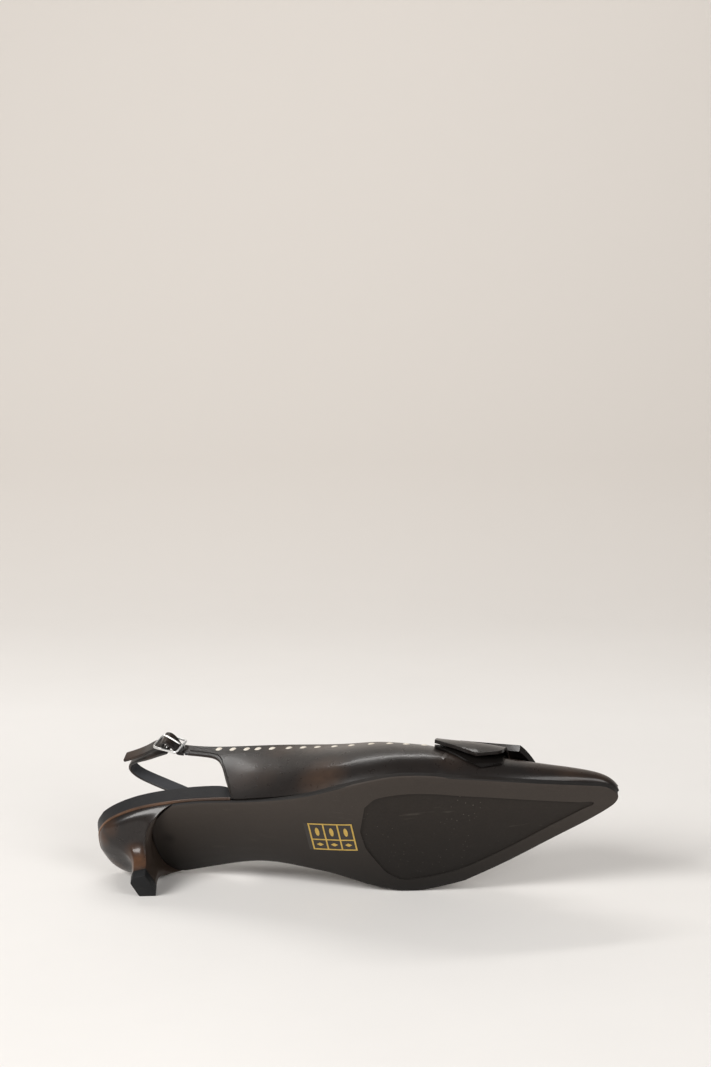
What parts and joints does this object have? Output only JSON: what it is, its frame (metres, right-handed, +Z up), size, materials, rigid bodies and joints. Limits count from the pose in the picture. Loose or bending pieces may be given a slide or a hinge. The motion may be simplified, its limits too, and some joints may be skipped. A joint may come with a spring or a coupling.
{
  "type": "pump shoe",
  "caption": "Slingback pump with a pointed toe, a low kitten heel, a flat bow on the vamp and a buckled heel strap, lying on its side.",
  "frame": {"origin": "centre of the bounding box's bottom, on the floor under the shoe as it lies on its medial side", "axes": "+X towards the toe, +Y towards the collar and away from the sole, +Z up from the floor on which heel tip, seat edge and ball rest"},
  "size_m": [0.264, 0.1012, 0.08],
  "materials": {
    "upper_leather": "burnished black leather with brown rub-off, satin",
    "footbed_leather": "matte blue-grey leather",
    "burnished_edge": "burnished brown edge, satin",
    "sole_resin": "matte grey-brown resin",
    "heel_cover": "burnished leather over a moulded heel, satin",
    "lift_rubber": "matte black",
    "buckle_metal": "bright silver"
  },
  "bodies": {
    "root": {"upper": "upper_leather", "insole": "footbed_leather", "seat_rand": "burnished_edge", "outsole": "sole_resin", "heel": "heel_cover", "top_lift": "lift_rubber", "sling_strap": "upper_leather", "tail_strap": "upper_leather", "buckle_frame": "buckle_metal", "buckle_bar": "buckle_metal", "buckle_prong": "buckle_metal", "bow_under": "upper_leather", "bow_wings": "upper_leather", "bow_loop": "upper_leather", "bow_band": "upper_leather"}
  },
  "joints": []
}
